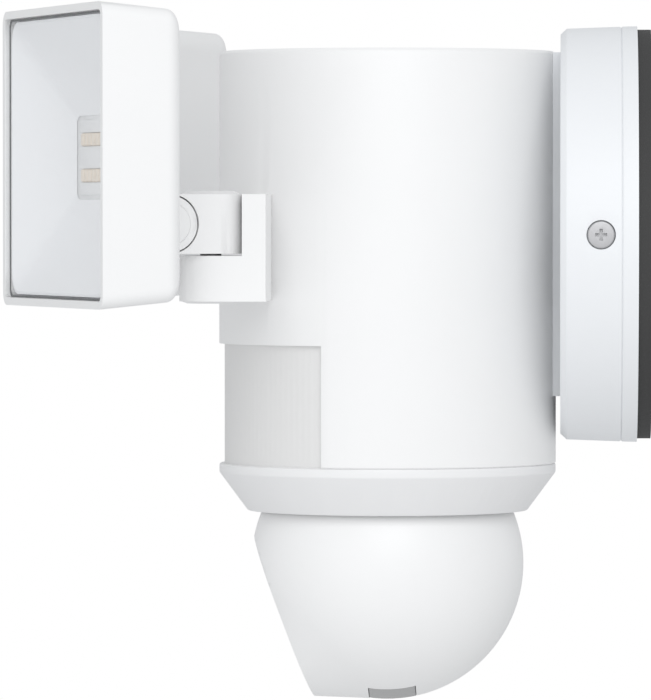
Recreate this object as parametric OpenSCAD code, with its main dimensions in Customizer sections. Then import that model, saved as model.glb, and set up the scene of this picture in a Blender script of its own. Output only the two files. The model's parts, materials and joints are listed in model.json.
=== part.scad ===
// Wall-mounted floodlight with a panning security camera and two hinged lamp heads.
// Millimetres, +Z up, front faces -Y, wall face on the plane Y = 0.

/* [Wall plate] */
// Outer radius of the canopy that covers the wiring box
canopy_r = 60.5; // [58:0.5:63]
// Depth of the canopy from the wall to its front face
canopy_depth = 26.3; // [25:0.1:30]
// Spacing of the screw slots for a large round wiring box
box_spacing_wide = 88.9; // [86:0.1:90]
// Spacing of the screw slots for a small wiring box
box_spacing_small = 69.85; // [66:0.05:72]

/* [Body] */
// Radius of the upright round body
body_r = 49.35; // [48:0.05:50]
// Height of the body's top above the wall plate's centre
body_top = 53.4; // [52:0.1:60]
// Half of the angle that the motion sensor window spans
window_half_angle = 69; // [50:1:75]
// Height of the top edge of the motion sensor window
window_top = -31.9; // [-36:0.1:-30]

/* [Camera head] */
// Radius of the ball-shaped head
head_r = 39.9; // [38:0.1:40]
// Downward lean of the flat camera face
face_lean = 20.6; // [12:0.1:28]

/* [Lamp heads] */
// Outward turn of each lamp head
lamp_yaw = 20.2; // [5:0.1:30]
// Width of a lamp head across its front
lamp_w = 105; // [100:1:112]
// Height of a lamp head across its front
lamp_h = 84.4; // [82:0.2:90]
// Height of a lamp head's centre
lamp_z = 21.9; // [20:0.1:26]

/* [Hidden] */
$fn = 72;
gap = 0.3;
run = 0.05;
axis_y = -77;
wall = 2.6;
body_in = body_r - wall;
body_low = -67;
ring_front = -8.6;
gasket_front = -4;
canopy_wall = 2.5;
canopy_in = canopy_r - canopy_wall;
neck_half = 10;
neck_low = -47.2;
neck_top = 53;
collar_low = -80.8;
collar_r = 41;
collar_mouth = 37.7;
ball_z = -96.4;
face_d = 33.7;
face_up = 20.2;
face_down = 29.2;
face_half = 21.2;
pin_r = 2.5;
seam = 0.35;
boss_r = 6.3;
hub_x = 65;
hub_y = -125.15;
hub_r = 8.95;
arm_front = -115.9;
arm_back = -109.2;
arm_top = 11.5;
arm_low = -18.8;
foot_top = -5.9;
knuckle_low = -5.3;
pivot_y = -14.6;
pivot_z = 3.1;
lug_r = 8;
tongue = 4.5;
lug_out = 8.6;
lamp_back = -22.9;
lamp_front = -46.8;
lamp_draft = 1.8;
lamp_wall = 2.3;
ledge_y = -45.1;
ledge_w = 2.9;
seal_t = 0.3;
lug_half = 6.6;
board_y = -32;

// Helpers

// A solid of revolution about the Y axis from a profile of [radius, y] points
module turned_y(points) {
  rotate([-90, 0, 0])
    rotate_extrude()
      polygon(points);
}

// A round bar along Y from y0 to y1
module rod_y(r, y0, y1) {
  translate([0, y0, 0])
    rotate([-90, 0, 0])
      cylinder(r = r, h = y1 - y0);
}

// A round bar along X from x0 to x1
module rod_x(r, x0, x1) {
  translate([x0, 0, 0])
    rotate([0, 90, 0])
      cylinder(r = r, h = x1 - x0);
}

// A plate in the XZ plane with rounded corners, from y0 to y1
module round_plate(w, h, r, y0, y1) {
  translate([0, y1, 0])
    rotate([90, 0, 0])
      linear_extrude(height = y1 - y0)
        union() {
          square([w, h - 2 * r], center = true);
          square([w - 2 * r, h], center = true);
          for (x = [-w / 2 + r, w / 2 - r], z = [-h / 2 + r, h / 2 - r])
            translate([x, z])
              circle(r = r, $fn = 24);
        }
}

// A screw along +Y with its pan head in front, head underside at y = 0
module pan_screw(shank_r, head_r, head_h, length) {
  rod_y(shank_r, -0.01, length);
  difference() {
    rod_y(head_r, -head_h, 0);
    translate([-head_r * 0.55, -head_h - 1, -0.4])
      cube([head_r * 1.1, 1.8, 0.8]);
    translate([-0.4, -head_h - 1, -head_r * 0.55])
      cube([0.8, 1.8, head_r * 1.1]);
  }
}

// Puts its children on the other side of the object
module to_side(side) {
  if (side > 0)
    children();
  else
    mirror([1, 0, 0])
      children();
}

// Swivel axis frame of the lamp on one side, lamp facing local -Y
module at_hub(side) {
  to_side(side)
    translate([hub_x, hub_y, 0])
      rotate([0, 0, lamp_yaw])
        children();
}

// Camera head frame: origin at the ball's centre, camera facing local -Y
module at_face() {
  translate([0, axis_y, ball_z])
    rotate([face_lean, 0, 0])
      children();
}

// Wall plate

module wall_gasket()
  color([0.1, 0.1, 0.1])
    turned_y([[54.6, gasket_front], [canopy_r - 0.7, gasket_front], [canopy_r - 0.7, 0], [54.6, 0]]);

module bracket_slot(spacing) {
  slot_half = 3.7;
  slot_r = 2.3;
  for (s = [-1, 1])
    translate([s * spacing / 2, 0, 0]) {
      for (t = [-1, 1])
        translate([t * slot_half, 0, 0])
          rod_y(slot_r, -3, 1);
      translate([-slot_half, -3, -slot_r])
        cube([2 * slot_half, 4, 2 * slot_r]);
    }
}

module side_screw_line(r)
  for (s = [-1, 1])
    translate([0, -14.7, 0])
      rod_x(r, s > 0 ? 45 : -70, s > 0 ? 70 : -45);

module wall_bracket() {
  ear_in = 52;
  color([0.72, 0.73, 0.75])
    difference() {
      union() {
        rod_y(54, -1.6, 0);
        for (s = [-1, 1])
          translate([s > 0 ? ear_in : -ear_in - 2, -20, -7])
            cube([2, 20, 14]);
      }
      rod_y(11, -3, 1);
      bracket_slot(box_spacing_wide);
      rotate([0, 90, 0])
        bracket_slot(box_spacing_small);
      side_screw_line(2);
      translate([24, 0, -24])
        rod_y(1.8, -3, 1);
    }
}

module ground_screw()
  color([0.2, 0.55, 0.3])
    translate([24, -1.6, -24])
      pan_screw(1.75, 4, 2, 1.6);

module base_rear_ring() {
  lip_front = ring_front - 3.4;
  lip_r = canopy_in - 0.1;
  color([0.93, 0.94, 0.95])
    difference() {
      turned_y([[56, gasket_front], [56, lip_front], [lip_r, lip_front], [lip_r, ring_front],
        [canopy_r - 0.15, ring_front], [canopy_r + 0.2, ring_front + seam], [canopy_r + 0.3, gasket_front]]);
      for (s = [-1, 1])
        translate([0, -14.7, 0])
          rod_x(boss_r + gap, s > 0 ? 50 : -lip_r, s > 0 ? lip_r : -50);
    }
}

module base_canopy() {
  head_seat = 58.6;
  color([0.94, 0.95, 0.96])
    difference() {
      union() {
        turned_y([[0, -canopy_depth], [canopy_r - 2.1, -canopy_depth],
          [canopy_r - 0.4, 1.8 - canopy_depth], [canopy_r + 0.15, ring_front - seam],
          [canopy_r - 0.2, ring_front], [canopy_in, ring_front],
          [canopy_in, canopy_wall - canopy_depth], [0, canopy_wall - canopy_depth]]);
        for (s = [-1, 1])
          translate([0, -14.7, 0])
            rod_x(boss_r, s > 0 ? 54.6 : -58.6, s > 0 ? 58.6 : -54.6);
      }
      side_screw_line(2.4);
      for (s = [-1, 1])
        translate([0, -14.7, 0])
          rod_x(4.15, s > 0 ? head_seat : -70, s > 0 ? 70 : -head_seat);
      rod_y(8, -40, -10);
      for (z = [-22, 28])
        translate([0, 0, z])
          rod_y(2.2, -40, -10);
    }
}

module base_side_screws()
  color([0.7, 0.7, 0.71])
    for (s = [-1, 1])
      translate([s * 58.6, -14.7, 0])
        rotate([0, 0, s > 0 ? 90 : -90])
          pan_screw(1.9, 3.9, 2.1, 10);

module neck_saddle() {
  color([0.9, 0.91, 0.92])
    difference() {
      translate([-neck_half, -32, neck_low])
        cube([2 * neck_half, 32 - canopy_depth, neck_top - neck_low]);
      translate([0, axis_y, -60])
        cylinder(r = body_r + run, h = 130, $fn = 240);
      rod_y(6, -40, -10);
      for (z = [-22, 28])
        translate([0, 0, z])
          rod_y(2.2, -40, -10);
    }
}

module neck_screws()
  color([0.6, 0.6, 0.62])
    for (z = [-22, 28])
      translate([0, canopy_wall - canopy_depth, z])
        rotate([0, 0, 180])
          pan_screw(2, 4, 2.2, 9);

// Body

module body_shell() {
  cut = body_r * 2;
  color([0.95, 0.95, 0.95])
    difference() {
      translate([0, axis_y, 0])
        rotate_extrude()
          polygon([[body_in, body_low], [body_r - seam, body_low], [body_r, body_low + seam],
            [body_r, body_top - 0.8],
            [body_r - 0.8, body_top], [body_in, body_top], [body_in, body_top - 2.4],
            [body_in - 2, body_top - 2.4], [body_in - 2, body_top - 4.4], [body_in, body_top - 6.4]]);
      translate([0, axis_y, body_low - 1])
        rotate([0, 0, -90 - window_half_angle])
          rotate_extrude(angle = 2 * window_half_angle)
            translate([body_in - 4, 0])
              square([10, window_top - body_low + 1]);
      rod_y(6, -40, -10);
      for (z = [-22, 28])
        translate([0, 0, z])
          rod_y(2.03, -40, -10);
      for (side = [-1, 1])
        arm_screw_line(side, 1.7, 40, 60);
    }
}

module top_cap()
  color([0.94, 0.94, 0.94])
    translate([0, axis_y, body_top - 2.4])
      cylinder(r = body_in - 0.1, h = 2.2);

module pir_window()
  color([0.86, 0.87, 0.88])
    translate([0, axis_y, body_low])
      rotate([0, 0, -90 - window_half_angle])
        rotate_extrude(angle = 2 * window_half_angle)
          translate([body_r - 3.2, 0])
            square([1.6, window_top - body_low]);

module pir_board()
  color([0.1, 0.35, 0.2])
    translate([-22, -111.6, -62])
      cube([44, 1.6, 26]);

module pir_sensors()
  color([0.75, 0.75, 0.76])
    for (x = [-11, 11])
      translate([x, 0, -48])
        rod_y(4.1, -115.6, -111.6);

module collar_ring()
  color([0.93, 0.93, 0.93])
    translate([0, axis_y, 0])
      rotate_extrude()
        polygon([[collar_mouth, collar_low], [collar_r, collar_low], [body_r - 0.05, -69.6],
          [body_r - 0.05, body_low - seam], [body_r - 0.05 - seam, body_low],
          [body_in - 0.6, body_low], [body_in - 0.6, -69.2],
          [collar_r - 0.8, collar_low + 2], [collar_mouth, collar_low + 2]]);

module pan_housing()
  color([0.25, 0.25, 0.26])
    translate([0, axis_y, 0])
      rotate_extrude()
        polygon([[10.06, -48.7], [10.06, -51], [26.6, -51], [29, -62], [collar_mouth, collar_low + 2],
          [collar_r - 1, collar_low + 2], [31.4, -61.4], [28.6, -48.7]]);

module pan_motor()
  color([0.55, 0.56, 0.58])
    translate([0, axis_y, 0])
      difference() {
        translate([0, 0, -46])
          cylinder(r = 14, h = 13);
        translate([0, 0, -47])
          cylinder(r = 3.06, h = 9);
      }

module mid_shelf()
  color([0.3, 0.3, 0.31])
    translate([0, axis_y, -31.6])
      difference() {
        cylinder(r = body_in - 0.2, h = 2);
        translate([25, 25, -1])
          cylinder(r = 6, h = 4);
      }

module main_board()
  color([0.08, 0.3, 0.18]) {
    translate([-36, -84, -29])
      cube([72, 1.6, 74]);
    translate([-10, -86.4, -4])
      cube([20, 2.4, 20]);
    translate([16, -85.6, 12])
      cube([12, 1.6, 10]);
  }

module power_board()
  color([0.15, 0.32, 0.2]) {
    translate([-28, -55, -29])
      cube([56, 1.6, 64]);
    translate([-22, -72, -12])
      cube([24, 17, 22]);
    for (z = [-20, 22])
      translate([14, 0, z])
        rod_y(6.5, -71, -55);
  }

module antenna()
  color([0.12, 0.12, 0.13])
    translate([-16, -100, 34])
      cube([32, 1, 11]);

module speaker()
  color([0.15, 0.15, 0.16])
    translate([0, -47.5, -41])
      cylinder(r = 11, h = 9.4);

module arm_screw_line(side, r, from, to)
  to_side(side)
    for (z = [-10, 3])
      translate([0, axis_y, z])
        rotate([0, 0, 45])
          rod_y(r, -to, -from);

module arm_screws()
  color([0.6, 0.6, 0.62])
    for (side = [-1, 1]) {
      arm_screw_line(side, 1.5, 46, 53);
      arm_screw_line(side, 3, 44.2, 46);
    }

// Camera head carrier

module turntable()
  color([0.3, 0.3, 0.31])
    translate([0, axis_y, 0])
      difference() {
        union() {
          translate([0, 0, -54.6])
            cylinder(r = 24, h = 3.3);
          translate([0, 0, -54.6])
            cylinder(r = 10, h = 7.9);
          translate([0, 0, -50])
            cylinder(r = 3, h = 11.5);
        }
        translate([0, 0, -48.3])
          difference() {
            cylinder(r = 11, h = 0.9);
            translate([0, 0, -1])
              cylinder(r = 9, h = 3);
          }
      }

module turntable_clip()
  color([0.7, 0.7, 0.72])
    translate([0, axis_y, -48.3])
      difference() {
        cylinder(r = 13, h = 0.9);
        translate([0, 0, -1])
          cylinder(r = 9, h = 3);
      }

module tilt_yoke()
  color([0.28, 0.28, 0.29])
    translate([0, axis_y, ball_z])
      difference() {
        union() {
          translate([-6, -4.5, 4])
            cube([12, 9, -54.6 - ball_z - 4]);
          rod_x(8, -10, 10);
        }
        rod_x(pin_r, -11, 11);
      }

module tilt_axle()
  color([0.75, 0.75, 0.77])
    translate([0, axis_y, ball_z])
      rod_x(pin_r, -16, 26);

// Camera head

module head_form(r, inset, steps) {
  hull() {
    intersection() {
      sphere(r = r, $fn = steps);
      translate([-50, inset - face_d, -50])
        cube([100, 100, 100]);
    }
    translate([0, 0, (face_up - face_down) / 2])
      round_plate(2 * (face_half - inset), face_up + face_down - 2 * inset,
        face_half - inset - 0.01, inset - face_d, inset - face_d + 0.4);
  }
}

module face_outline(margin, y0, y1) {
  half = face_half - margin;
  translate([0, 0, (face_up - face_down) / 2])
    round_plate(2 * half, face_up + face_down - 2 * margin, half - 0.01, y0, y1);
}

module cover_outline(grow)
  intersection() {
    translate([-17 - grow, -4.9 - grow, -head_r - 1])
      cube([34 + 2 * grow, 13.4 + 2 * grow, 12]);
    translate([0, 1.8, -head_r - 2])
      cylinder(r = 18 + grow, h = 16);
  }

module head_shell()
  color([0.95, 0.95, 0.95])
    difference() {
      at_face()
        head_form(head_r, 0, 44);
      at_face()
        head_form(head_r - 2.3, 2.3, 32);
      at_face()
        face_outline(2.4, -face_d - 1, -face_d + 4);
      translate([0, axis_y, ball_z])
        head_slot();
      translate([0, axis_y, ball_z])
        cover_outline(0.25);
    }

// Clearance for the yoke's stem over the whole tilt travel, as a sector across X
module head_slot() {
  back = 38;
  front = 20;
  half = 5;
  near = 24;
  far = 56;
  rotate([90, 0, 90])
    linear_extrude(height = 12.8, center = true)
      polygon([
        [near * sin(back) + half * cos(back), near * cos(back) - half * sin(back)],
        [far * sin(back) + half * cos(back), far * cos(back) - half * sin(back)],
        [far * 1.2 * sin(9), far * 1.2 * cos(9)],
        [-far * sin(front) - half * cos(front), far * cos(front) - half * sin(front)],
        [-near * sin(front) - half * cos(front), near * cos(front) - half * sin(front)]]);
}

module face_window()
  color([0.04, 0.04, 0.05])
    at_face()
      difference() {
        face_outline(2.5, -face_d + 0.4, -face_d + 1.9);
        for (z = [8, -15])
          translate([0, 0, z])
            rod_y(8.6, -40, -30);
      }

module lens_carrier()
  color([0.12, 0.12, 0.13])
    at_face()
      difference() {
        union() {
          face_outline(6, -face_d + 6, -face_d + 8);
          for (s = [-1, 1])
            translate([s > 0 ? 11 : -14, -face_d + 7, -6])
              cube([3, face_d - 7 + 6, 12]);
        }
        for (z = [8, -15])
          translate([0, 0, z])
            rod_y(7.4, -40, -20);
        rod_x(pin_r + run, -20, 20);
      }

module lens(z, r) {
  at_face()
    translate([0, 0, z])
      difference() {
        union() {
          rod_y(8.4, -face_d + 0.2, -face_d + 2.4);
          rod_y(7.2, -face_d + 2, -face_d + 13);
        }
        rod_y(r, -face_d - 1, -face_d + 1.4);
      }
}

module wide_lens()
  color([0.1, 0.1, 0.12])
    lens(8, 6.4);

module tele_lens()
  color([0.1, 0.1, 0.12])
    lens(-15, 5.2);

module image_board()
  color([0.08, 0.3, 0.18])
    at_face()
      translate([-10, -face_d + 13.2, -23])
        cube([20, 1.4, 39]);

module tilt_motor()
  color([0.55, 0.56, 0.58])
    translate([0, axis_y, ball_z])
      difference() {
        rod_x(8.5, 16.5, 32);
        rod_x(pin_r + run, 15, 27);
      }

module service_cover()
  color([0.74, 0.74, 0.74])
    translate([0, axis_y, ball_z])
      intersection() {
        cover_outline(0);
        difference() {
          sphere(r = head_r);
          sphere(r = head_r - 2);
        }
      }

module sync_button()
  color([0.85, 0.85, 0.86])
    translate([8, axis_y + 1.2, ball_z - head_r + 4])
      cylinder(r = 2.5, h = 4);

// Lamp arms and lamps

module arm(side)
  color([0.95, 0.95, 0.95])
    difference() {
      to_side(side)
        union() {
          translate([28, 0, 0])
            rotate([90, 0, 90])
              linear_extrude(height = hub_x + hub_r - 28)
                hull()
                  for (y = [arm_front + 1.2, arm_back - 1.2], z = [arm_low + 1.2, arm_top - 1.2])
                    translate([y, z])
                      circle(r = 1.2, $fn = 32);
          translate([hub_x, hub_y, arm_low])
            cylinder(r = hub_r, h = foot_top - arm_low);
          translate([hub_x - hub_r, hub_y, arm_low])
            cube([2 * hub_r, arm_front - hub_y + 2, foot_top - arm_low]);
          translate([hub_x, hub_y, arm_low - 0.6])
            cylinder(r1 = 6, r2 = hub_r - 0.4, h = 0.61);
        }
      translate([0, axis_y, -40])
        cylinder(r = body_r + run, h = 80, $fn = 240);
      to_side(side)
        translate([hub_x, hub_y, arm_low + 2])
          cylinder(r = 3, h = 30);
      arm_screw_line(side, 1.52, 46, 54);
    }

module swivel_pin(side)
  color([0.7, 0.7, 0.72])
    to_side(side)
      translate([hub_x, hub_y, arm_low + 2])
        cylinder(r = 3, h = arm_top - arm_low - 5);

module knuckle(side)
  color([0.95, 0.95, 0.95])
    at_hub(side)
      difference() {
        union() {
          translate([0, 0, knuckle_low])
            cylinder(r = hub_r, h = arm_top - knuckle_low);
          translate([-hub_r, pivot_y, knuckle_low])
            cube([2 * hub_r, -pivot_y, arm_top - knuckle_low]);
          translate([0, 0, arm_top - 0.01])
            cylinder(r1 = hub_r - 0.4, r2 = 6, h = 0.9);
          translate([0, pivot_y, pivot_z])
            rod_x(lug_r, -tongue, tongue);
        }
        for (s = [-1, 1])
          translate([0, pivot_y, pivot_z])
            rod_x(lug_r + 0.4, s > 0 ? tongue : -20, s > 0 ? 20 : -tongue);
        translate([0, 0, knuckle_low - 1])
          cylinder(r = 3 + run, h = arm_top - 2 - knuckle_low);
        translate([0, pivot_y, pivot_z])
          rod_x(pin_r + run, -20, 20);
      }

module tilt_pin(side)
  color([0.7, 0.7, 0.72])
    at_hub(side)
      translate([0, pivot_y, pivot_z])
        rod_x(pin_r, -lug_out + 0.7, lug_out - 0.7);

module pivot_caps(side)
  color([0.93, 0.93, 0.93])
    at_hub(side)
      translate([0, pivot_y, pivot_z])
        for (s = [-1, 1])
          rod_x(6, s > 0 ? lug_out - 0.6 : -lug_out - 0.3, s > 0 ? lug_out + 0.3 : -lug_out + 0.6);

module lamp_form() {
  rear_r = 6;
  rear_depth = 4.7;
  hull() {
    round_plate(lamp_w, lamp_h, 4, lamp_front, lamp_front + 0.6);
    for (a = [0, 30, 60, 90])
      lamp_slice(rear_r * (1 - cos(a)), lamp_back - rear_depth * (1 - sin(a)), max(rear_r * cos(a), 0.5));
  }
}

// One slice of the lamp's rounded rear edge, inset from its drafted side
module lamp_slice(inset, y, r)
  round_plate(lamp_w - 2 * lamp_draft - 2 * inset, lamp_h - 2 * lamp_draft - 2 * inset, r, y - 0.1, y);

module lamp_cavity()
  hull() {
    round_plate(lamp_w - 2 * ledge_w, lamp_h - 2 * ledge_w, 2, ledge_y - 1, ledge_y);
    round_plate(lamp_w - 12, lamp_h - 12, 4, lamp_back - lamp_wall - 1, lamp_back - lamp_wall);
  }

module housing(side)
  color([0.95, 0.95, 0.95])
    at_hub(side)
      difference() {
        union() {
          translate([0, 0, lamp_z])
            lamp_form();
          for (s = [-1, 1]) {
            translate([0, pivot_y, pivot_z])
              rod_x(lug_r, s > 0 ? tongue + gap : -lug_out, s > 0 ? lug_out : -tongue - gap);
            translate([s > 0 ? tongue + gap : -lug_out, lamp_back - 1, pivot_z - lug_half])
              cube([lug_out - tongue - gap, pivot_y - lamp_back + 1, 2 * lug_half]);
          }
        }
        translate([0, 0, lamp_z])
          lamp_cavity();
        translate([0, 0, lamp_z])
          round_plate(lamp_w - 4.4, lamp_h - 4.4, 2.4, lamp_front - 1, ledge_y);
        translate([0, pivot_y, pivot_z])
          rod_x(pin_r + 0.02, -20, 20);
        for (s = [-1, 1])
          translate([0, pivot_y, pivot_z])
            rod_x(6.05, s > 0 ? lug_out - 0.6 : -20, s > 0 ? 20 : -lug_out + 0.6);
      }

module seal(side)
  color([0.12, 0.12, 0.13])
    at_hub(side)
      translate([0, 0, lamp_z])
        difference() {
          round_plate(lamp_w - 4.8, lamp_h - 4.8, 2.2, ledge_y - seal_t, ledge_y);
          round_plate(lamp_w - 2 * ledge_w, lamp_h - 2 * ledge_w, 2, ledge_y - 2, ledge_y + 1);
        }

module glass(side)
  color([0.8, 0.85, 0.9, 0.3])
    at_hub(side)
      translate([0, 0, lamp_z])
        round_plate(lamp_w - 5, lamp_h - 5, 2.1, lamp_front + 0.2, ledge_y - seal_t);

// A four-sided funnel from a wide front at y0 to a narrow back at y1
module funnel(y0, y1, front_w, front_h, back_w, back_h)
  hull() {
    translate([-front_w / 2, y0, -front_h / 2])
      cube([front_w, 0.05, front_h]);
    translate([-back_w / 2, y1 - 0.05, -back_h / 2])
      cube([back_w, 0.05, back_h]);
  }

module reflector(side) {
  mouth_w = lamp_w - 2 * ledge_w - 2 * gap;
  mouth_h = lamp_h - 2 * ledge_w - 2 * gap;
  color([0.9, 0.91, 0.92])
    at_hub(side)
      translate([0, 0, lamp_z])
        difference() {
          funnel(ledge_y, board_y - 0.1, mouth_w, mouth_h, 52, 25);
          funnel(ledge_y - 0.1, board_y, mouth_w - 1.8, mouth_h - 1.8, 50, 23);
        }
}

module led_board(side)
  color([0.93, 0.93, 0.9])
    at_hub(side)
      translate([-27, board_y, lamp_z - 14])
        cube([54, 1.6, 28]);

module led_strips(side)
  color([0.95, 0.85, 0.65])
    at_hub(side)
      for (z = [-5, 5])
        translate([-19, board_y - 1, lamp_z + z - 1.8])
          cube([38, 1, 3.6]);

module heat_sink(side)
  color([0.65, 0.66, 0.68])
    at_hub(side)
      translate([0, 0, lamp_z]) {
        translate([-40, board_y + 1.6, -26])
          cube([80, 2.4, 52]);
        for (x = [-36 : 9 : 36])
          translate([x - 0.8, board_y + 3.9, -26])
            cube([1.6, 1.6, 52]);
      }

module right_arm() arm(1);
module right_swivel_pin() swivel_pin(1);
module right_knuckle() knuckle(1);
module right_tilt_pin() tilt_pin(1);
module right_pivot_caps() pivot_caps(1);
module right_housing() housing(1);
module right_seal() seal(1);
module right_glass() glass(1);
module right_reflector() reflector(1);
module right_led_board() led_board(1);
module right_led_strips() led_strips(1);
module right_heat_sink() heat_sink(1);
module left_arm() arm(-1);
module left_swivel_pin() swivel_pin(-1);
module left_knuckle() knuckle(-1);
module left_tilt_pin() tilt_pin(-1);
module left_pivot_caps() pivot_caps(-1);
module left_housing() housing(-1);
module left_seal() seal(-1);
module left_glass() glass(-1);
module left_reflector() reflector(-1);
module left_led_board() led_board(-1);
module left_led_strips() led_strips(-1);
module left_heat_sink() heat_sink(-1);

wall_gasket();
wall_bracket();
ground_screw();
base_rear_ring();
base_canopy();
base_side_screws();
neck_saddle();
neck_screws();
body_shell();
top_cap();
pir_window();
pir_board();
pir_sensors();
collar_ring();
pan_housing();
pan_motor();
mid_shelf();
main_board();
power_board();
antenna();
speaker();
arm_screws();
turntable();
turntable_clip();
tilt_yoke();
tilt_axle();
head_shell();
face_window();
lens_carrier();
wide_lens();
tele_lens();
image_board();
tilt_motor();
service_cover();
sync_button();
right_arm();
right_swivel_pin();
right_knuckle();
right_tilt_pin();
right_pivot_caps();
right_housing();
right_seal();
right_glass();
right_reflector();
right_led_board();
right_led_strips();
right_heat_sink();
left_arm();
left_swivel_pin();
left_knuckle();
left_tilt_pin();
left_pivot_caps();
left_housing();
left_seal();
left_glass();
left_reflector();
left_led_board();
left_led_strips();
left_heat_sink();
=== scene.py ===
import json
import math

import bpy
from mathutils import Matrix, Vector


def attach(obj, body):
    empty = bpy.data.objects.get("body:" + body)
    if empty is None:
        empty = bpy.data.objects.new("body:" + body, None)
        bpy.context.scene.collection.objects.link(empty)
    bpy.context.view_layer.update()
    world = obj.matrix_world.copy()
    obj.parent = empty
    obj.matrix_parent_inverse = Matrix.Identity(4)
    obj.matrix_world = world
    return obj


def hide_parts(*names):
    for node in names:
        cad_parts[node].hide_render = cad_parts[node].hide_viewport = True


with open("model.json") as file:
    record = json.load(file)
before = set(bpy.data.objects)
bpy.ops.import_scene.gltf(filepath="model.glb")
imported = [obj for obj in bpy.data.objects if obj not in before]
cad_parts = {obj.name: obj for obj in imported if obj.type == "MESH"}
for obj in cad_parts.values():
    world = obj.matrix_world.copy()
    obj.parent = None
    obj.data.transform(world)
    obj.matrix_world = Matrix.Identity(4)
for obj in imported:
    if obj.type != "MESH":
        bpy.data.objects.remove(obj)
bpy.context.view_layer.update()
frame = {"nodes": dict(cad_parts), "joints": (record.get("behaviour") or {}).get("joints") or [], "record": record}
nodes = frame["nodes"]
jointPlace = {j["name"]: j.get("pos_m") for j in frame["joints"]}
mm = 0.001

# the body's upright axis, which the head turns about
bodyAxisY = jointPlace["pan"][1]

print("frame loaded,", len(nodes), "nodes")


# camera, lights and floor

cameraSetup = {
    "place": (1.83, -0.0236, 0.0056),
    "target": (0.0, -0.0952, -0.034),
    "lens": 321,
    "sensor": 36,
}

lightSetup = {
    "skySeen": 1.0,
    "seenTone": (1, 1, 1, 1),
    "skyLight": 0.7,
    "lightTone": (0.97, 0.985, 1, 1),
    "target": (0, -0.09, -0.03),
    "softboxes": [
        # name, place, size, watts
        ("key", (1.6, 0.1, 0.8), 1.2, 11.5),
        ("fill", (1.4, -0.8, -0.2), 1.2, 2.5),
    ],
}

floorSetup = {
    "size": 5,
    "level": -0.5,
}


def standAt(obj, place, target):
    bpy.context.scene.collection.objects.link(obj)
    obj.location = place
    direction = Vector(target) - Vector(place)
    obj.rotation_euler = direction.to_track_quat("-Z", "Y").to_euler()


def addCamera(setup):
    data = bpy.data.cameras.new("camera")
    data.lens = setup["lens"]
    data.sensor_width = setup["sensor"]
    camera = bpy.data.objects.new("camera", data)
    standAt(camera, setup["place"], setup["target"])
    bpy.context.scene.camera = camera


def addSky(setup):
    # plain white where the camera sees it, a little dimmer and cooler as a light
    world = bpy.data.worlds.new("studio")
    bpy.context.scene.world = world
    world.use_nodes = True
    tree = world.node_tree
    tree.nodes.clear()
    out = tree.nodes.new("ShaderNodeOutputWorld")
    seen = tree.nodes.new("ShaderNodeBackground")
    seen.inputs["Strength"].default_value = setup["skySeen"]
    seen.inputs["Color"].default_value = setup["seenTone"]
    light = tree.nodes.new("ShaderNodeBackground")
    light.inputs["Strength"].default_value = setup["skyLight"]
    light.inputs["Color"].default_value = setup["lightTone"]
    path = tree.nodes.new("ShaderNodeLightPath")
    mix = tree.nodes.new("ShaderNodeMixShader")
    tree.links.new(path.outputs["Is Camera Ray"], mix.inputs["Fac"])
    tree.links.new(light.outputs["Background"], mix.inputs[1])
    tree.links.new(seen.outputs["Background"], mix.inputs[2])
    tree.links.new(mix.outputs["Shader"], out.inputs["Surface"])


def addLights(setup):
    addSky(setup)
    for name, place, size, watts in setup["softboxes"]:
        data = bpy.data.lights.new(name, "AREA")
        data.shape = "SQUARE"
        data.size = size
        data.energy = watts
        standAt(bpy.data.objects.new(name, data), place, setup["target"])


def addFloor(setup):
    bpy.ops.object.select_all(action="DESELECT")
    bpy.ops.mesh.primitive_plane_add(size=setup["size"], location=(0, 0, setup["level"]))
    floor = bpy.context.object
    floor.name = "floor"
    floor.data.materials.append(paint["floor"])


# materials

def addMath(tree, operation, *given):
    # each input is linked to a socket or set to a number
    step = tree.nodes.new("ShaderNodeMath")
    step.operation = operation
    for entry, value in zip(step.inputs, given):
        if isinstance(value, (int, float)):
            entry.default_value = value
        else:
            tree.links.new(value, entry)
    return step.outputs[0]


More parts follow.
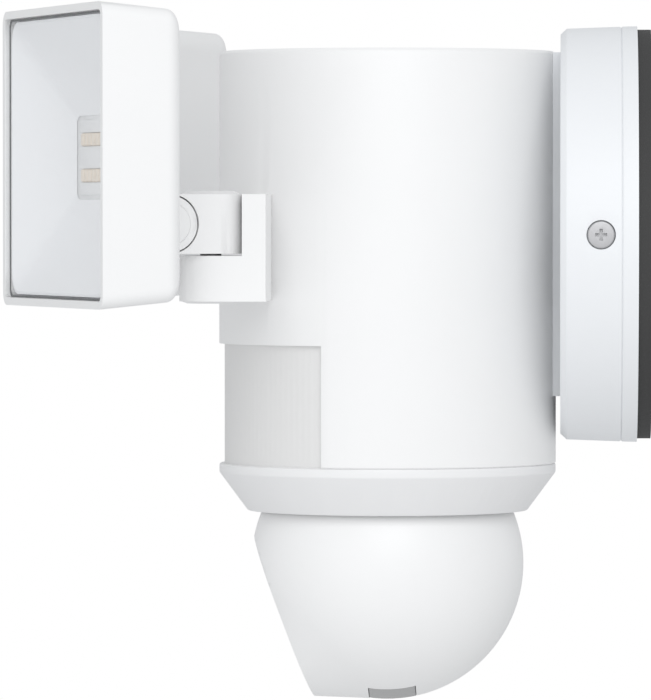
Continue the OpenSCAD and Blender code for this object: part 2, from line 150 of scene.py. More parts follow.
def makeGrainGroup():
    # fine moulded grain with slow tone drift, shared by every finish
    group = bpy.data.node_groups.new("mouldedGrain", "ShaderNodeTree")
    face = group.interface
    wanted = [
        ("Tone", "NodeSocketColor", (0.8, 0.8, 0.8, 1)),
        ("Drift", "NodeSocketFloat", 0.03),
        ("Grain Scale", "NodeSocketFloat", 2500.0),
        ("Roughness", "NodeSocketFloat", 0.4),
        ("Roughness Spread", "NodeSocketFloat", 0.08),
    ]
    for name, kind, value in wanted:
        socket = face.new_socket(name=name, in_out="INPUT", socket_type=kind)
        socket.default_value = value
    face.new_socket(name="Color", in_out="OUTPUT", socket_type="NodeSocketColor")
    face.new_socket(name="Roughness", in_out="OUTPUT", socket_type="NodeSocketFloat")
    face.new_socket(name="Height", in_out="OUTPUT", socket_type="NodeSocketFloat")
    add = group.nodes.new
    link = group.links.new
    given = add("NodeGroupInput")
    made = add("NodeGroupOutput")
    place = add("ShaderNodeTexCoord")
    slow = add("ShaderNodeTexNoise")
    slow.inputs["Scale"].default_value = 28
    slow.inputs["Detail"].default_value = 3
    fine = add("ShaderNodeTexNoise")
    fine.inputs["Detail"].default_value = 2
    link(place.outputs["Object"], slow.inputs["Vector"])
    link(place.outputs["Object"], fine.inputs["Vector"])
    link(given.outputs["Grain Scale"], fine.inputs["Scale"])
    centred = addMath(group, "SUBTRACT", slow.outputs["Fac"], 0.5)
    drift = addMath(group, "MULTIPLY", centred, given.outputs["Drift"])
    lift = addMath(group, "ADD", drift, 1.0)
    tint = add("ShaderNodeVectorMath")
    tint.operation = "SCALE"
    link(given.outputs["Tone"], tint.inputs[0])
    link(lift, tint.inputs["Scale"])
    spread = addMath(group, "MULTIPLY_ADD", centred,
                     given.outputs["Roughness Spread"], given.outputs["Roughness"])
    link(tint.outputs[0], made.inputs["Color"])
    link(spread, made.inputs["Roughness"])
    link(fine.outputs["Fac"], made.inputs["Height"])
    return group


grainGroup = makeGrainGroup()


def makeFinish(name, tone, roughness, drift=0.03, spread=0.08, grain=2500, bump=0.05, **plain):
    # whatever is left over sets the shader input of that name
    material = bpy.data.materials.new(name)
    material.use_nodes = True
    tree = material.node_tree
    shader = tree.nodes["Principled BSDF"]
    grainNode = tree.nodes.new("ShaderNodeGroup")
    grainNode.node_tree = grainGroup
    grainNode.inputs["Tone"].default_value = (*tone, 1)
    grainNode.inputs["Drift"].default_value = drift
    grainNode.inputs["Grain Scale"].default_value = grain
    grainNode.inputs["Roughness"].default_value = roughness
    grainNode.inputs["Roughness Spread"].default_value = spread
    tree.links.new(grainNode.outputs["Color"], shader.inputs["Base Color"])
    tree.links.new(grainNode.outputs["Roughness"], shader.inputs["Roughness"])
    bumpNode = tree.nodes.new("ShaderNodeBump")
    bumpNode.inputs["Strength"].default_value = bump
    bumpNode.inputs["Distance"].default_value = 0.2 * mm
    tree.links.new(grainNode.outputs["Height"], bumpNode.inputs["Height"])
    tree.links.new(bumpNode.outputs["Normal"], shader.inputs["Normal"])
    for socket, value in plain.items():
        shader.inputs[socket.replace("_", " ")].default_value = value
    return material


finishes = {
    # name: tone, roughness, what differs from plain moulded plastic
    "whiteShell": ((0.88, 0.88, 0.88), 0.42, {}),
    "coolWhite": ((0.83, 0.845, 0.865), 0.46, {}),
    # a darker copy of the white plastic: painted shade for the downward-facing collar
    "shadedCollarWhite": ((0.84, 0.84, 0.845), 0.42, {}),
    "gasketFoam": ((0.045, 0.045, 0.045), 0.85, {"drift": 0.3, "grain": 1400, "bump": 0.5}),
    "zincSteel": ((0.5, 0.5, 0.51), 0.5,
                  {"drift": 0.15, "grain": 900, "bump": 0.12, "Metallic": 0.9}),
    "greenScrew": ((0.06, 0.3, 0.12), 0.35, {"Metallic": 0.6}),
    "boardGreen": ((0.02, 0.14, 0.06), 0.35, {"drift": 0.3, "grain": 700, "bump": 0.2}),
    "boardWhite": ((0.9, 0.9, 0.9), 0.4, {}),
    "innerBlack": ((0.03, 0.03, 0.032), 0.55, {"bump": 0.12}),
    "motorCan": ((0.4, 0.41, 0.43), 0.35, {"drift": 0.12, "Metallic": 1.0}),
    "blackGlass": ((0.006, 0.006, 0.008), 0.06,
                   {"spread": 0.02, "bump": 0.0, "Coat_Weight": 1.0}),
    "lensBlack": ((0.012, 0.012, 0.016), 0.22, {"spread": 0.03, "bump": 0.03}),
    "coverGrey": ((0.44, 0.44, 0.44), 0.6, {"bump": 0.1}),
    "sealBlack": ((0.03, 0.03, 0.032), 0.6, {"bump": 0.2}),
    "reflectorWhite": ((0.95, 0.953, 0.965), 0.3, {"spread": 0.06, "bump": 0.04}),
    "ledAmber": ((0.9, 0.8, 0.68), 0.45, {"drift": 0.1}),
    "sinkAluminium": ((0.6, 0.61, 0.62), 0.38, {"drift": 0.1, "Metallic": 1.0}),
    # clear to what is behind, with a polished face that still catches the light
    "clearGlass": ((0.9, 0.93, 0.96), 0.05,
                   {"drift": 0.02, "spread": 0.02, "bump": 0.0, "Alpha": 0.09, "IOR": 1.5}),
    "windowFilm": ((0.76, 0.757, 0.752), 0.5, {}),
    "floor": ((0.86, 0.86, 0.86), 0.7, {"grain": 60, "bump": 0.02}),
}

windowRibs = {
    "perRadian": 150,
    "strength": 0.12,
    "deep": 0.1 * mm,
}


def addWindowRibs(material):
    # fine upright ribs around the body's axis
    tree = material.node_tree
    place = tree.nodes.new("ShaderNodeTexCoord")
    parts = tree.nodes.new("ShaderNodeSeparateXYZ")
    tree.links.new(place.outputs["Object"], parts.inputs[0])
    across = addMath(tree, "SUBTRACT", parts.outputs["Y"], bodyAxisY)
    around = addMath(tree, "ARCTAN2", parts.outputs["X"], across)
    dense = addMath(tree, "MULTIPLY", around, windowRibs["perRadian"])
    rib = addMath(tree, "SINE", dense)
    ribBump = tree.nodes.new("ShaderNodeBump")
    ribBump.inputs["Strength"].default_value = windowRibs["strength"]
    ribBump.inputs["Distance"].default_value = windowRibs["deep"]
    tree.links.new(rib, ribBump.inputs["Height"])
    tree.links.new(ribBump.outputs["Normal"], tree.nodes["Principled BSDF"].inputs["Normal"])


paint = {
    name: makeFinish(name, tone, roughness, **more)
    for name, (tone, roughness, more) in finishes.items()
}
addWindowRibs(paint["windowFilm"])

finishOfSlot = {
    "white_plastic": "whiteShell",
    "plate_white": "coolWhite",
    "foam_black": "gasketFoam",
    "zinc_steel": "zincSteel",
    "green_screw": "greenScrew",
    "window_grey": "windowFilm",
    "board_green": "boardGreen",
    "board_white": "boardWhite",
    "dark_plastic": "innerBlack",
    "motor_steel": "motorCan",
    "black_glass": "blackGlass",
    "lens_black": "lensBlack",
    "cover_grey": "coverGrey",
    "clear_glass": "clearGlass",
    "seal_black": "sealBlack",
    "reflector_white": "reflectorWhite",
    "led_amber": "ledAmber",
    "sink_aluminium": "sinkAluminium",
}


def paintFrame():
    slotOf = {s["node"]: s["material_slot"] for s in frame["record"]["subparts"]}
    for name, obj in nodes.items():
        obj.data.materials.clear()
        obj.data.materials.append(paint[finishOfSlot[slotOf[name]]])


paintFrame()
addCamera(cameraSetup)
addLights(lightSetup)
addFloor(floorSetup)
bpy.context.scene.view_settings.view_transform = "Standard"
print("stage and finishes ready")


# modelling helpers

def leaveEdit():
    bpy.ops.object.mode_set(mode="OBJECT")


def clearSelection():
    if bpy.context.object and bpy.context.object.mode == "EDIT":
        leaveEdit()
    bpy.ops.object.select_all(action="DESELECT")


def useOnly(piece):
    clearSelection()
    piece.select_set(True)
    bpy.context.view_layer.objects.active = piece


def editAll():
    bpy.ops.object.mode_set(mode="EDIT")
    bpy.ops.mesh.select_all(action="SELECT")


def pickNothing(kind):
    bpy.ops.object.mode_set(mode="EDIT")
    bpy.ops.mesh.select_mode(type=kind)
    bpy.ops.mesh.select_all(action="DESELECT")
    leaveEdit()


def pickFaces(piece, test):
    # goes into edit mode with just the faces whose middle and normal pass the test
    pickNothing("FACE")
    for face in piece.data.polygons:
        face.select = test(face.center, face.normal)
    bpy.ops.object.mode_set(mode="EDIT")


def extrudeBack(distance):
    bpy.ops.mesh.extrude_region_move(TRANSFORM_OT_translate={"value": (0, distance, 0)})


def insetBy(thickness):
    bpy.ops.mesh.inset(thickness=thickness, depth=0)


def bevelEdges(piece, width, segments=3, angle=35):
    useOnly(piece)
    soft = piece.modifiers.new("soften", "BEVEL")
    soft.width = width
    soft.segments = segments
    soft.limit_method = "ANGLE"
    soft.angle_limit = math.radians(angle)
    bpy.ops.object.modifier_apply(modifier=soft.name)


def roundCorners(piece, radius, test, segments):
    # rounds the edges whose two ends pass the test
    useOnly(piece)
    pickNothing("EDGE")
    corners = piece.data.vertices
    for edge in piece.data.edges:
        a, b = (corners[i].co for i in edge.vertices)
        edge.select = test(a, b)
    bpy.ops.object.mode_set(mode="EDIT")
    bpy.ops.mesh.bevel(offset=radius, offset_type="OFFSET", segments=segments,
                       affect="EDGES", clamp_overlap=True)
    leaveEdit()


def smooth(piece, angle=35):
    useOnly(piece)
    bpy.ops.object.shade_smooth_by_angle(angle=math.radians(angle))


def combine(piece, other, operation):
    useOnly(piece)
    step = piece.modifiers.new("combine", "BOOLEAN")
    step.operation = operation
    step.object = other
    step.solver = "MANIFOLD"
    bpy.ops.object.modifier_apply(modifier=step.name)
    bpy.data.objects.remove(other)


def cutWith(piece, cutter):
    combine(piece, cutter, "DIFFERENCE")


def unite(piece, other):
    combine(piece, other, "UNION")


def joinPieces(first, others):
    clearSelection()
    for piece in others:
        piece.select_set(True)
    first.select_set(True)
    bpy.context.view_layer.objects.active = first
    bpy.ops.object.join()
    return first


def settle(piece, matrix=None):
    # the place goes into the mesh, and the object sits at the origin
    if matrix is not None:
        piece.matrix_world = matrix @ piece.matrix_world
    useOnly(piece)
    bpy.ops.object.transform_apply(location=True, rotation=True, scale=True)
    return piece


def newBox(name, size, place):
    clearSelection()
    bpy.ops.mesh.primitive_cube_add(size=1, location=place, scale=size)
    piece = bpy.context.object
    piece.name = name
    return settle(piece)


def newBar(name, radius, length, place, axis="Z", sides=64):
    clearSelection()
    turn = {"X": (0, math.pi / 2, 0), "Y": (math.pi / 2, 0, 0), "Z": (0, 0, 0)}[axis]
    bpy.ops.mesh.primitive_cylinder_add(
        vertices=sides, radius=radius, depth=length, location=place, rotation=turn)
    piece = bpy.context.object
    piece.name = name
    return settle(piece)


def copyMirrored(piece, name):
    useOnly(piece)
    bpy.ops.object.duplicate()
    twin = bpy.context.object
    twin.name = name
    editAll()
    bpy.ops.transform.mirror(constraint_axis=(True, False, False), center_override=(0, 0, 0))
    bpy.ops.mesh.normals_make_consistent(inside=False)
    leaveEdit()
    return twin


def finishPiece(piece, body, finish, node):
    piece.data.materials.clear()
    piece.data.materials.append(paint[finish])
    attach(piece, body)
    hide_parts(node)


def placeSides(piece, base, bodyEnd, slotName, nodeEnd):
    # takes the right-hand piece and adds its mirrored twin
    pair = {"right": piece, "left": copyMirrored(piece, "left" + base)}
    piece.name = "right" + base
    for side, made in pair.items():
        body = "fixed" if bodyEnd == "fixed" else side + "_" + bodyEnd
        finishPiece(made, body, finishOfSlot[slotName], side + "_" + nodeEnd)


# lamp heads, modelled facing -Y at the swivel axis, then turned out

hinge = {
    "x": jointPlace["right_swing"][0],
    "y": jointPlace["right_swing"][1],
    "yaw": math.radians(20.2),
    "hub": 8.95 * mm,
    "pivotY": -14.6 * mm,
    "pivotZ": 3.1 * mm,
    "lug": 8.0 * mm,
    "lugHalf": 6.6 * mm,
    "lugIn": 4.8 * mm,
    "lugOut": 8.6 * mm,
    "lugSunk": 1.0 * mm,
    "capSeat": 6.05 * mm,
    "capSeatDeep": 1.2 * mm,
}
hubPlace = Matrix.Translation((hinge["x"], hinge["y"], 0)) @ Matrix.Rotation(hinge["yaw"], 4, "Z")

lamp = {
    "wide": 105.0 * mm,
    "high": 84.4 * mm,
    "middle": 21.9 * mm,
    "front": -46.8 * mm,
    "back": -22.9 * mm,
    "draft": 1.8 * mm,
    "corner": 4.0 * mm,
    "rearRound": 5.9 * mm,
    "rearDepth": 4.7 * mm,
    "rearSteps": 8,
    "rim": 2.2 * mm,
    "ledge": -45.1 * mm,
    "ledgeWide": 0.7 * mm,
    "wall": 2.3 * mm,
    # how much the space inside narrows to the back, across and up
    "narrowed": (0.945, 0.93),
    "eased": 0.35 * mm,
    "board": -32.0 * mm,
}
lampCentre = (0, 0, lamp["middle"])


def resizeFace(across, up):
    bpy.ops.transform.resize(value=(across, 1, up), center_override=lampCentre)


def roundRear(shell, wide, high):
    # the rear rim rolls in to the back face, deeper across than along
    pickFaces(shell, lambda c, n: n.y > 0.9)
    pulledIn = reached = 0
    for step in range(1, lamp["rearSteps"] + 1):
        a = step / lamp["rearSteps"] * math.pi / 2
        inset = lamp["rearRound"] * (1 - math.cos(a))
        depth = lamp["rearDepth"] * math.sin(a)
        extrudeBack(depth - reached)
        resizeFace((wide - 2 * inset) / (wide - 2 * pulledIn),
                   (high - 2 * inset) / (high - 2 * pulledIn))
        pulledIn, reached = inset, depth
    leaveEdit()


def makeLampHousing():
    sideEnd = lamp["back"] - lamp["rearDepth"]
    deep = sideEnd - lamp["front"]
    wide = lamp["wide"] - 2 * lamp["draft"]
    high = lamp["high"] - 2 * lamp["draft"]
    shell = newBox("housing", (lamp["wide"], deep, lamp["high"]),
                   (0, (sideEnd + lamp["front"]) / 2, lamp["middle"]))
    # the back is a little smaller than the front
    pickFaces(shell, lambda c, n: n.y > 0.9)
    resizeFace(wide / lamp["wide"], high / lamp["high"])
    leaveEdit()
    roundCorners(shell, lamp["corner"], lambda a, b: abs(a.y - b.y) > deep / 2, 8)
    roundRear(shell, wide, high)
    # a pocket in the front for the glass, a ledge, and the space behind
    pickFaces(shell, lambda c, n: n.y < -0.9)
    insetBy(lamp["rim"])
    extrudeBack(lamp["ledge"] - lamp["front"])
    insetBy(lamp["ledgeWide"])
    extrudeBack(lamp["back"] - lamp["wall"] - lamp["ledge"])
    resizeFace(*lamp["narrowed"])
    leaveEdit()
    shell = joinPieces(shell, [makeLug(side) for side in (-1, 1)])
    bevelEdges(shell, lamp["eased"], segments=2, angle=40)
    smooth(shell, 38)
    return settle(shell, hubPlace)


def makeLug(side):
    wide = hinge["lugOut"] - hinge["lugIn"]
    middle = side * (hinge["lugOut"] + hinge["lugIn"]) / 2
    long = lamp["back"] - hinge["pivotY"]
    pivot = (middle, hinge["pivotY"], hinge["pivotZ"])
    lug = newBox("lug", (wide, hinge["lugSunk"] - long, 2 * hinge["lugHalf"]),
                 (middle, hinge["pivotY"] + (long - hinge["lugSunk"]) / 2, hinge["pivotZ"]))
    unite(lug, newBar("eye", hinge["lug"], wide, pivot, "X"))
    cutWith(lug, newBar("capSeat", hinge["capSeat"], hinge["capSeatDeep"],
                        (side * hinge["lugOut"], hinge["pivotY"], hinge["pivotZ"]), "X"))
    return lug


placeSides(makeLampHousing(), "LampHousing", "lamp", "white_plastic", "housing")
print("lamp housings made")


# lamp arms and knuckles

arm = {
    "start": 28.0 * mm,
    "front": -115.9 * mm,
    "back": -109.2 * mm,
    "top": 11.5 * mm,
    "low": -18.8 * mm,
    "footTop": -5.9 * mm,
    "footSunk": 3 * mm,
    "eased": 0.5 * mm,
    "domeIn": 0.5 * mm,
    "domeRise": 0.6 * mm,
    "bodyRadius": 49.37 * mm,
    "bodyHigh": 90 * mm,
    "pinRadius": 3.0 * mm,
    "pinLong": 30 * mm,
    "pinMiddle": 17 * mm,
}

knuckle = {
    "low": -5.3 * mm,
    "lugRoom": 0.4 * mm,
    "seatLong": 10 * mm,
    "seatMiddle": 4.7 * mm,
    "tongueLong": 9 * mm,
    "eased": 0.5 * mm,
    "domeIn": 0.6 * mm,
    "domeRise": 0.9 * mm,
    "swivelRadius": 3.05 * mm,
    "swivelLong": 14 * mm,
    "swivelMiddle": 7 * mm,
    "pinRadius": 2.55 * mm,
    "pinLong": 20 * mm,
}

pivotCap = {
    "radius": 6.0 * mm,
    "high": 0.9 * mm,
    "sunk": 0.15 * mm,
    "eased": 0.25 * mm,
}


def makeDome(radius, rise, place, up):
    # a low button on the end of a hub, smaller at its top
    x, y, z = place
    smaller = 0.8
    dome = newBar("dome", radius, rise, (x, y, z + up * rise / 2))
    pickFaces(dome, lambda c, n: n.z * up > 0.9)
    bpy.ops.transform.resize(value=(smaller, smaller, 1), center_override=place)
    leaveEdit()
    return dome


def makeArm():
    x, y = hinge["x"], hinge["y"]
    end = x + hinge["hub"]
    beam = newBox(
        "arm",
        (end - arm["start"], arm["back"] - arm["front"], arm["top"] - arm["low"]),
        ((end + arm["start"]) / 2, (arm["back"] + arm["front"]) / 2, (arm["top"] + arm["low"]) / 2))
    thick = arm["footTop"] - arm["low"]
    level = (arm["footTop"] + arm["low"]) / 2
    reach = arm["front"] - y + arm["footSunk"]
    foot = newBox("foot", (2 * hinge["hub"], reach, thick), (x, y + reach / 2, level))
    unite(foot, newBar("footEnd", hinge["hub"], thick, (x, y, level)))
    unite(beam, foot)
    bevelEdges(beam, arm["eased"], angle=40)
    unite(beam, makeDome(hinge["hub"] - arm["domeIn"], arm["domeRise"], (x, y, arm["low"]), -1))
    cutWith(beam, newBar("bodyRound", arm["bodyRadius"], arm["bodyHigh"],
                         (0, bodyAxisY, 0), sides=160))
    cutWith(beam, newBar("pinSeat", arm["pinRadius"], arm["pinLong"],
                         (x, y, arm["low"] + arm["pinMiddle"])))
    smooth(beam, 30)
    return beam


def makeKnuckle():
    high = arm["top"] - knuckle["low"]
    level = (arm["top"] + knuckle["low"]) / 2
    reach = -hinge["pivotY"]
    pivot = (0, hinge["pivotY"], hinge["pivotZ"])
    block = newBox("knuckle", (2 * hinge["hub"], reach, high), (0, -reach / 2, level))
    unite(block, newBar("hubRound", hinge["hub"], high, (0, 0, level)))
    for side in (-1, 1):
        middle = side * (hinge["lugIn"] + knuckle["seatMiddle"])
        cutWith(block, newBar("lugSeat", hinge["lug"] + knuckle["lugRoom"], knuckle["seatLong"],
                              (middle, hinge["pivotY"], hinge["pivotZ"]), "X"))
    unite(block, newBar("tongue", hinge["lug"], knuckle["tongueLong"], pivot, "X"))
    bevelEdges(block, knuckle["eased"], angle=50)
    unite(block, makeDome(hinge["hub"] - knuckle["domeIn"], knuckle["domeRise"],
                          (0, 0, arm["top"]), 1))
    cutWith(block, newBar("swivelBore", knuckle["swivelRadius"], knuckle["swivelLong"],
                          (0, 0, knuckle["low"] + knuckle["swivelMiddle"])))
    cutWith(block, newBar("pinBore", knuckle["pinRadius"], knuckle["pinLong"], pivot, "X"))
    smooth(block, 30)
    return settle(block, hubPlace)


def makePivotCaps():
    caps = []
    for side in (-1, 1):
        middle = side * (hinge["lugOut"] - pivotCap["sunk"])
        caps.append(newBar("cap", pivotCap["radius"], pivotCap["high"],
                           (middle, hinge["pivotY"], hinge["pivotZ"]), "X"))
    both = joinPieces(caps[0], caps[1:])
    bevelEdges(both, pivotCap["eased"], angle=40)
    smooth(both)
    return settle(both, hubPlace)


placeSides(makeArm(), "ArmBracket", "fixed", "white_plastic", "arm")
placeSides(makeKnuckle(), "Knuckle", "swivel", "white_plastic", "knuckle")
placeSides(makePivotCaps(), "PivotCaps", "lamp", "white_plastic", "pivot_caps")
print("arms and knuckles made")


# what sits inside each lamp: funnel reflector, glass, board and emitters

funnel = {
    "frontWide": 98.6 * mm,
    "frontHigh": 78.0 * mm,
    "backWide": 51.6 * mm,
    "backHigh": 24.6 * mm,
    "lip": 0.2 * mm,
    "corner": 7 * mm,
    "skin": 0.8 * mm,
    "steps": 8,
    "curve": 0.9,
    # the funnel stops short of the board, and its hollow runs past both ends
    "gap": 0.1 * mm,
    "past": 0.15 * mm,
}

glass = {
    "deep": 1.15 * mm,
    "setBack": 0.22 * mm,
    "smaller": 5 * mm,
    "corner": 2.4 * mm,
    "eased": 0.3 * mm,
}

ledBoard = {
    "wide": 54 * mm,
    "high": 28 * mm,
    "thick": 1.6 * mm,
    "barThick": 0.7 * mm,
    "barForward": 0.34 * mm,
    "barPast": 2 * mm,
    "barEnd": 10.6 * mm,
    "eased": 0.15 * mm,
}

strip = {
    "long": 38.0 * mm,
    "high": 3.7 * mm,
    "off": 5.1 * mm,
    "thick": 0.5 * mm,
    "room": 0.1 * mm,
    "chips": 10,
    "chipGap": 0.5 * mm,
    "chipForward": 0.7 * mm,
    "eased": 0.12 * mm,
}


def makeFunnel(name, margin, start, stop):
    # a solid that narrows from the glass to the board in curved steps
    wide = funnel["frontWide"] - 2 * margin
    high = funnel["frontHigh"] - 2 * margin
    form = newBox(name, (wide, funnel["lip"], high), (0, start + funnel["lip"] / 2, lamp["middle"]))
    roundCorners(form, funnel["corner"], lambda a, b: abs(a.y - b.y) > funnel["lip"] / 2, 8)
    pickFaces(form, lambda c, n: n.y > 0.9)
    reached = 0
    for step in range(1, funnel["steps"] + 1):
        part = step / funnel["steps"]
        nextWide = funnel["frontWide"] + (funnel["backWide"] - funnel["frontWide"]) * part - 2 * margin
        nextHigh = funnel["frontHigh"] + (funnel["backHigh"] - funnel["frontHigh"]) * part - 2 * margin
        curved = math.sin(part * funnel["curve"]) / math.sin(funnel["curve"])
        depth = (stop - start - funnel["lip"]) * curved
        extrudeBack(depth - reached)
        resizeFace(nextWide / wide, nextHigh / high)
        wide, high, reached = nextWide, nextHigh, depth
    leaveEdit()
    return form


def makeReflector():
    start = lamp["ledge"]
    stop = lamp["board"] - funnel["gap"]
    cup = makeFunnel("reflector", 0, start, stop)
    cutWith(cup, makeFunnel("hollow", funnel["skin"], start - funnel["past"], stop + funnel["past"]))
    smooth(cup, 30)
    return settle(cup, hubPlace)


def makeGlass():
    deep = glass["deep"]
    front = lamp["front"] + glass["setBack"]
    pane = newBox("glass", (lamp["wide"] - glass["smaller"], deep, lamp["high"] - glass["smaller"]),
                  (0, front + deep / 2, lamp["middle"]))
    roundCorners(pane, glass["corner"], lambda a, b: abs(a.y - b.y) > deep / 2, 6)
    bevelEdges(pane, glass["eased"], angle=50)
    smooth(pane)
    return settle(pane, hubPlace)


def makeLedBoard():
    # the board, and the low bars that frame the two strips
    board = newBox("board", (ledBoard["wide"], ledBoard["thick"], ledBoard["high"]),
                   (0, lamp["board"] + ledBoard["thick"] / 2, lamp["middle"]))
    outer = strip["off"] + strip["high"] / 2 + strip["room"]
    inner = strip["off"] - strip["high"] / 2 - strip["room"]
    end = ledBoard["barEnd"]
    bars = []
    for low, top in ((-end, -outer), (-inner, inner), (outer, end)):
        size = (strip["long"] + ledBoard["barPast"], ledBoard["barThick"], top - low)
        bars.append(newBox("bar", size, (0, lamp["board"] - ledBoard["barForward"],
                                         lamp["middle"] + (low + top) / 2)))
    board = joinPieces(board, bars)
    bevelEdges(board, ledBoard["eased"], segments=2, angle=40)
    smooth(board)
    return settle(board, hubPlace)


def makeLedStrips():
    pieces = []
    pitch = strip["long"] / strip["chips"]
    chipSize = (pitch - strip["chipGap"], strip["thick"], strip["high"] - strip["chipGap"])
    for off in (-strip["off"], strip["off"]):
        level = lamp["middle"] + off
        pieces.append(newBox("base", (strip["long"], strip["thick"], strip["high"]),
                             (0, lamp["board"] - strip["thick"] / 2, level)))
        for n in range(strip["chips"]):
            x = (n - (strip["chips"] - 1) / 2) * pitch
            pieces.append(newBox("chip", chipSize, (x, lamp["board"] - strip["chipForward"], level)))
    strips = joinPieces(pieces[0], pieces[1:])
    bevelEdges(strips, strip["eased"], segments=2, angle=40)
    smooth(strips)
    return settle(strips, hubPlace)


placeSides(makeReflector(), "Reflector", "lamp", "reflector_white", "reflector")
placeSides(makeGlass(), "FrontGlass", "lamp", "clear_glass", "glass")
placeSides(makeLedBoard(), "LampBoard", "lamp", "board_white", "led_board")
placeSides(makeLedStrips(), "LightStrips", "lamp", "led_amber", "led_strips")
print("lamp insides made")


# camera head, modelled level about the ball's centre, then leaned down

head = {
    "centre": jointPlace["tilt"],
    "lean": math.radians(20.6),
    "radius": 39.9 * mm,
    "faceY": -33.7 * mm,
    "faceUp": 20.2 * mm,
    "faceDown": 29.2 * mm,
    "faceHalf": 21.2 * mm,
    "plate": 0.4 * mm,
    "eased": 0.7 * mm,
    "skin": 2.3 * mm,
    "openingIn": 2.4 * mm,
    "openingFrom": 1 * mm,
    "openingTo": 4 * mm,
}
headPlace = Matrix.Translation(head["centre"]) @ Matrix.Rotation(head["lean"], 4, "X")

# the opening under the head for the service cover
coverOpening = {
    "size": (34.5 * mm, 13.9 * mm, 12 * mm),
    "back": 1.8 * mm,
    "up": 3 * mm,
}

# the slot over the top of the head, which lets it tilt around the yoke
yokeSlot = {
    "radius": 56 * mm,
    "wide": 12.8 * mm,
    "spare": 5 * mm,
    "above": 22 * mm,
    # angle of each end in degrees, and the side of it that is kept
    "ends": ((38, 1), (-20, -1)),
}


def newOblong(name, margin, y0, y1):
    # a plate with round ends that fits the flat face, from y0 to y1
    half = head["faceHalf"] - margin
    span = (head["faceUp"] + head["faceDown"]) / 2 - head["faceHalf"]
    middle = (head["faceUp"] - head["faceDown"]) / 2
    plate = newBar(name, half, y1 - y0, (0, (y0 + y1) / 2, middle), "Y", 96)
    for up in (-1, 1):
        pickNothing("VERT")
        for corner in plate.data.vertices:
            corner.select = (corner.co.z - middle) * up > 0.02 * mm
        bpy.ops.object.mode_set(mode="EDIT")
        bpy.ops.transform.translate(value=(0, 0, up * span))
        leaveEdit()
    return plate


def makeHeadForm(name, inset, segments):
    # a ball cut flat in front, swept to the outline of its flat face
    clearSelection()
    bpy.ops.mesh.primitive_uv_sphere_add(
        segments=segments, ring_count=segments // 2, radius=head["radius"] - inset)
    form = bpy.context.object
    form.name = name
    front = head["faceY"] + inset
    editAll()
    bpy.ops.mesh.bisect(plane_co=(0, front, 0), plane_no=(0, 1, 0), clear_inner=True, use_fill=True)
    leaveEdit()
    form = joinPieces(form, [newOblong("plate", inset, front, front + head["plate"])])
    useOnly(form)
    editAll()
    bpy.ops.mesh.convex_hull(use_existing_faces=False)
    bpy.ops.mesh.select_all(action="SELECT")
    bpy.ops.mesh.remove_doubles(threshold=0.01 * mm)
    bpy.ops.mesh.normals_make_consistent(inside=False)
    leaveEdit()
    return form


def makeHeadShell():
    shell = makeHeadForm("headShell", 0, 128)
    bevelEdges(shell, head["eased"], angle=42)
    hollow = makeHeadForm("hollow", head["skin"], 64)
    unite(hollow, newOblong("faceOpening", head["openingIn"],
                            head["faceY"] - head["openingFrom"], head["faceY"] + head["openingTo"]))
    cutWith(shell, hollow)
    settle(shell, headPlace)
    cutWith(shell, makeSlotCutter())
    _, y, z = head["centre"]
    cutWith(shell, newBox("coverOpening", coverOpening["size"],
                          (0, y + coverOpening["back"], z - head["radius"] + coverOpening["up"])))
    smooth(shell, 32)
    return shell


def makeSlotCutter():
    _, y, z = head["centre"]
    cutter = newBar("slot", yokeSlot["radius"], yokeSlot["wide"], (0, y, z), "X", 96)
    bpy.ops.object.mode_set(mode="EDIT")
    for angle, keepSide in yokeSlot["ends"]:
        bpy.ops.mesh.select_all(action="SELECT")
        a = math.radians(angle)
        across = Vector((0, math.cos(a), -math.sin(a))) * keepSide
        at = Vector(head["centre"]) + across * yokeSlot["spare"]
        bpy.ops.mesh.bisect(plane_co=at, plane_no=across, clear_outer=True, use_fill=True)
    bpy.ops.mesh.select_all(action="SELECT")
    bpy.ops.mesh.bisect(plane_co=(0, y, z + yokeSlot["above"]), plane_no=(0, 0, 1),
                        clear_inner=True, use_fill=True)
    leaveEdit()
    return cutter


window = {
    "smaller": 2.55 * mm,
    "front": 0.4 * mm,
    "back": 1.9 * mm,
    "eased": 0.3 * mm,
    "lensHole": 8.6 * mm,
    "holeLong": 8 * mm,
}

lens = {
    "wideZ": 8.0 * mm,
    "teleZ": -15.0 * mm,
    "wideClear": 5.6 * mm,
    "teleClear": 4.4 * mm,
    "setBack": 0.2 * mm,
    "radius": 8.4 * mm,
    "long": 12.8 * mm,
    "ringDepths": (0.5 * mm, 0.5 * mm, 0.6 * mm),
    "bulge": 0.3 * mm,
    "bulgeRings": (0.85, 0.62, 0.36, 0.12),
}


def makeFaceWindow():
    front = head["faceY"] + window["front"]
    plate = newOblong("faceWindow", window["smaller"], front, head["faceY"] + window["back"])
    bevelEdges(plate, window["eased"], angle=50)
    for z in (lens["wideZ"], lens["teleZ"]):
        cutWith(plate, newBar("lensHole", window["lensHole"], window["holeLong"],
                              (0, head["faceY"], z), "Y", 96))
    smooth(plate)
    return settle(plate, headPlace)


def makeLens(name, z, clear):
    # a barrel that steps in to its front element, of radius clear
    front = head["faceY"] + lens["setBack"]
    barrel = newBar(name, lens["radius"], lens["long"], (0, front + lens["long"] / 2, z), "Y", 96)
    pickFaces(barrel, lambda c, n: n.y < -0.9)
    halfStep = (lens["radius"] - clear) / 3 / 2
    for depth in lens["ringDepths"]:
        insetBy(halfStep)
        extrudeBack(depth)
        insetBy(halfStep)
    # the front element bulges forward in a few rings
    extrudeBack(0)
    radius = clear
    for share in lens["bulgeRings"]:
        bpy.ops.transform.translate(value=(0, -lens["bulge"] * share, 0))
        insetBy(radius - clear * share)
        radius = clear * share
    leaveEdit()
    smooth(barrel, 25)
    return settle(barrel, headPlace)


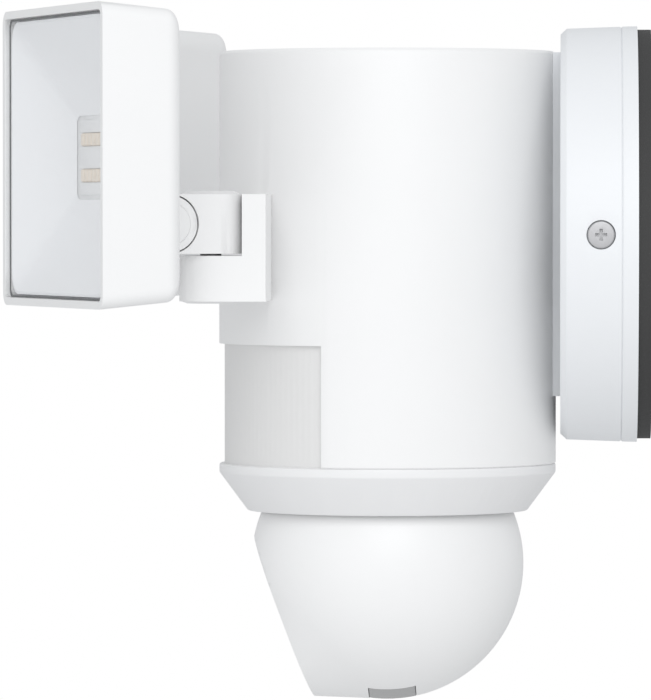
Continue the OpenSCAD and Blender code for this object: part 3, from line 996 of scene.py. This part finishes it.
headPieces = [
    # piece, finish, slot, node
    (makeHeadShell(), "whiteShell", "white_plastic", "head_shell"),
    (makeFaceWindow(), "blackGlass", "black_glass", "face_window"),
    (makeLens("wideLens", lens["wideZ"], lens["wideClear"]), "lensBlack", "lens_black", "wide_lens"),
    (makeLens("teleLens", lens["teleZ"], lens["teleClear"]), "lensBlack", "lens_black", "tele_lens"),
]
for piece, finish, slotName, node in headPieces:
    finishPiece(piece, "camera_head", finish, node)
print("camera head made")


# cross-head screws in the sides of the wall plate

sideScrew = {
    "seat": 58.6 * mm,
    "y": -14.7 * mm,
    "headRadius": 3.9 * mm,
    "headHigh": 2.1 * mm,
    "headRound": 0.45 * mm,
    "crossDeep": 2.6 * mm,
    "crossWide": 0.95 * mm,
    "crossLong": 3.4 * mm,
    "shankRadius": 1.9 * mm,
    "shankLong": 10.0 * mm,
    "shankIn": 0.1 * mm,
}


def makeSideScrew(side):
    seat = side * sideScrew["seat"]
    level = sideScrew["y"]
    screw = newBar("sideScrew", sideScrew["headRadius"], sideScrew["headHigh"],
                   (seat + side * sideScrew["headHigh"] / 2, level, 0), "X", 72)
    pickFaces(screw, lambda c, n: n.x * side > 0.9)
    bpy.ops.mesh.bevel(offset=sideScrew["headRound"], segments=4, affect="EDGES")
    leaveEdit()
    top = seat + side * sideScrew["headHigh"]
    deep, wide, long = sideScrew["crossDeep"], sideScrew["crossWide"], sideScrew["crossLong"]
    for size in ((deep, wide, long), (deep, long, wide)):
        cutWith(screw, newBox("recess", size, (top, level, 0)))
    shankEnd = seat - side * (sideScrew["shankLong"] / 2 - sideScrew["shankIn"])
    unite(screw, newBar("shank", sideScrew["shankRadius"],
                        sideScrew["shankLong"] + 2 * sideScrew["shankIn"], (shankEnd, level, 0), "X"))
    smooth(screw, 30)
    return screw


screws = joinPieces(makeSideScrew(1), [makeSideScrew(-1)])
finishPiece(screws, "fixed", "zincSteel", "base_side_screws")
print("side screws made")


# the turned mouldings, with their sharp moulded edges eased

easedEdges = {
    # node: width of the eased edge, body, finish, slot
    "base_canopy": (0.45 * mm, "fixed", "coolWhite", "plate_white"),
    "base_rear_ring": (0.25 * mm, "fixed", "coolWhite", "plate_white"),
    "body_shell": (0.3 * mm, "fixed", "whiteShell", "white_plastic"),
    "top_cap": (0.3 * mm, "fixed", "whiteShell", "white_plastic"),
    # the collar's darker white is painted shade, not a different plastic
    "collar_ring": (0.35 * mm, "fixed", "shadedCollarWhite", "white_plastic"),
    "service_cover": (0.3 * mm, "service_cover_body", "coverGrey", "cover_grey"),
}


def easeNode(name, width):
    useOnly(nodes[name])
    bpy.ops.object.duplicate()
    piece = bpy.context.object
    piece.name = name + "Eased"
    editAll()
    bpy.ops.mesh.remove_doubles(threshold=0.002 * mm)
    bpy.ops.mesh.dissolve_limited(angle_limit=math.radians(0.5))
    bpy.ops.mesh.normals_make_consistent(inside=False)
    leaveEdit()
    bevelEdges(piece, width, angle=30)
    smooth(piece, 30)
    return settle(piece)


for name, (width, body, finish, slotName) in easedEdges.items():
    finishPiece(easeNode(name, width), body, finish, name)
print("mouldings eased")
